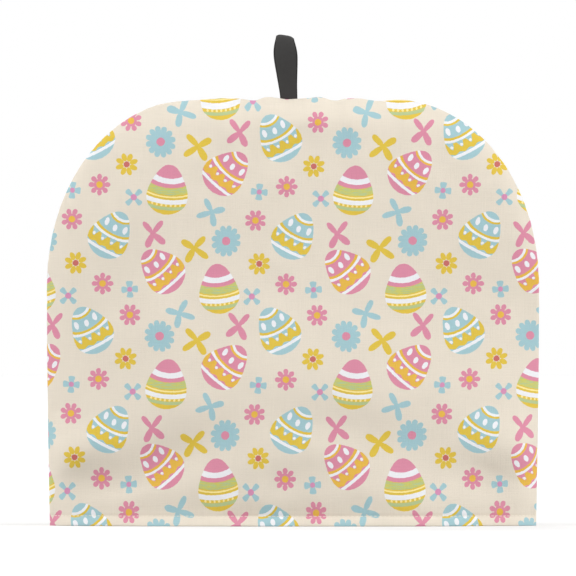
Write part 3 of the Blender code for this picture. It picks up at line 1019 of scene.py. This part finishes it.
def fold_tape(name, material):
    """Carries the tape's section along the loop's line, between its left and right edges, cups
    it, tilts its top, and lets its corners drop."""
    y, z, run = tape_line()
    left, right = tape_edges(z, run)
    slope_y = np.gradient(y, run)
    slope_z = np.gradient(z, run)
    size = np.hypot(slope_y, slope_z)
    across, layer = tape_section()
    half = (right - left) / 2
    height = np.clip(z / LOOP_RISE, 0, 1)
    x = (left + right)[:, None] / 2 + np.outer(half, across)
    off = layer + TAPE_CUP * np.outer(np.sin(math.pi * height), across**2) - TAPE_SET
    point_y = y[:, None] - off * (slope_z / size)[:, None]
    point_z = z[:, None] + off * (slope_y / size)[:, None]
    tilt = LOOP_TOP_SLOPE * np.outer(half * height**2, across)
    drop = CORNER_DROP * np.outer(height**5, np.abs(across) ** 4)
    point_z = BODY_HEIGHT + point_z - tilt - drop
    points = np.stack([x, point_y, point_z], -1)[:, :-1]
    steps, around = points.shape[:2]
    faces, corners = tape_faces(steps, around, run / run[-1])
    places = np.broadcast_arrays(half[:, None] * across[:-1], run[:, None], np.abs(across[:-1]))
    places = np.stack(places, -1).reshape(-1, 3)
    slots = np.zeros(sum(len(group) for group in faces), int)
    return make_cloth(name, points.reshape(-1, 3), faces, corners, places, slots, (material,))


dark_tape, shade = new_material("dark_tape")
place = shade.node("Attribute", {"attribute_name": "cloth_place"}, (), "Vector")
spot = place.vector("MULTIPLY", (1000, 1000, 1))
over, slubs, cloudy = weave(spot, TAPE_THREADS)
rib = spot.part("Y").waves(TAPE_RIBS)
# painted shade: the tape is darker grey from EDGE_SHADE_FROM out to each edge, as if the curled edges
# were in shade
tone = (spot.part("Z") > EDGE_SHADE_FROM).choose(TAPE_GREY, EDGE_SHADE_GREY)
bumps = {"Strength": 0.6, "Distance": 0.00012, "Height": 0.5 * rib + 0.4 * over + 0.5 * slubs}
shade.feed(shade.tree.nodes["Principled BSDF"], {
    "Base Color": tone.scaled(1.0 + 0.20 * slubs + 0.10 * rib + 0.10 * cloudy),
    "Roughness": 0.78 + 0.15 * slubs,
    "Normal": shade.node("Bump", (), bumps),
    "Specular IOR Level": 0.25,
    "Sheen Weight": 0.08,
})

loop_tape = fold_tape("loop_tape", dark_tape)
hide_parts("hanging_loop")
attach(loop_tape, "root")


# ------------------------------------------------------------------ Studio
# A pale floor and surround, soft light from above and in front, and a long lens square on to
# the front panel.

FLOOR_REACH = 20.0
FLOOR_SEEN = (0.95, 0.95, 0.95, 1)
FLOOR_BOUNCE = (0.42, 0.42, 0.42, 1)
GLOW_LEVEL = 0.38               # of the surround: level with the floor, and overhead
GLOW_OVERHEAD = 0.41
LIGHT_SOFTNESS = math.radians(50)
LIGHTS = (                      # the way each shines, and its strength
    ("front_light", (0.0, 0.92, -0.40), 0.46),
    ("left_light", (0.92, 0.30, -0.28), 2.00),
    ("right_light", (-0.92, 0.30, -0.28), 2.25),
    ("top_light", (0.0, 0.15, -1.0), 0.28),
    ("back_light", (0.25, -0.70, -0.60), 1.0),
)
CAMERA_DISTANCE = 12.0
SENSOR = 36
FRAME_WIDTH = 0.37555
FRAME_CENTRE = (-0.00326, 0.15485)

floor_corners = [(x, y, 0) for x, y in ((-1, -1), (1, -1), (1, 1), (-1, 1))]
floor_mesh = bpy.data.meshes.new("studio_floor")
floor_mesh.from_pydata((np.array(floor_corners) * FLOOR_REACH).tolist(), [], [(0, 1, 2, 3)])
floor = bpy.data.objects.new("studio_floor", floor_mesh)
bpy.context.scene.collection.objects.link(floor)
pale_floor, shade = new_material("pale_floor")
seen = shade.node("LightPath", (), (), "Is Camera Ray")
shade.feed(shade.tree.nodes["Principled BSDF"], {
    "Base Color": seen.choose(FLOOR_BOUNCE, FLOOR_SEEN),
    "Roughness": 0.8,
    "Specular IOR Level": 0.0,
})
floor_mesh.materials.append(pale_floor)

world = bpy.data.worlds.new("studio")
bpy.context.scene.world = world
world.use_nodes = True
shade = Shade(world.node_tree)
seen = shade.node("LightPath", (), (), "Is Camera Ray")
up = shade.node("TexCoord", (), (), "Generated").part("Z")
ramp = {"Value": up, "From Min": 0.0, "From Max": 0.8, "To Min": GLOW_LEVEL, "To Max": GLOW_OVERHEAD}
glow = shade.node("MapRange", (), ramp)
glow = shade.node("Mix", {"data_type": "FLOAT"}, {0: seen, 2: glow, 3: 1.0})
shade.feed(shade.tree.nodes["Background"], {"Color": (1, 1, 1, 1), "Strength": glow})

for name, (x, y, z), strength in LIGHTS:
    light = bpy.data.lights.new(name, "SUN")
    light.energy = strength
    light.angle = LIGHT_SOFTNESS
    lamp = bpy.data.objects.new(name, light)
    lamp.rotation_euler = (math.atan2(math.hypot(x, y), -z), 0, math.atan2(-x, y))
    bpy.context.scene.collection.objects.link(lamp)

camera_data = bpy.data.cameras.new("camera")
camera_data.sensor_width = SENSOR
camera_data.lens = SENSOR * CAMERA_DISTANCE / FRAME_WIDTH
camera_data.clip_end = 60
camera = bpy.data.objects.new("camera", camera_data)
camera.location = (FRAME_CENTRE[0], -CAMERA_DISTANCE, FRAME_CENTRE[1])
camera.rotation_euler = (math.pi / 2, 0, 0)
bpy.context.scene.collection.objects.link(camera)
bpy.context.scene.camera = camera
bpy.context.scene.view_settings.view_transform = "Standard"
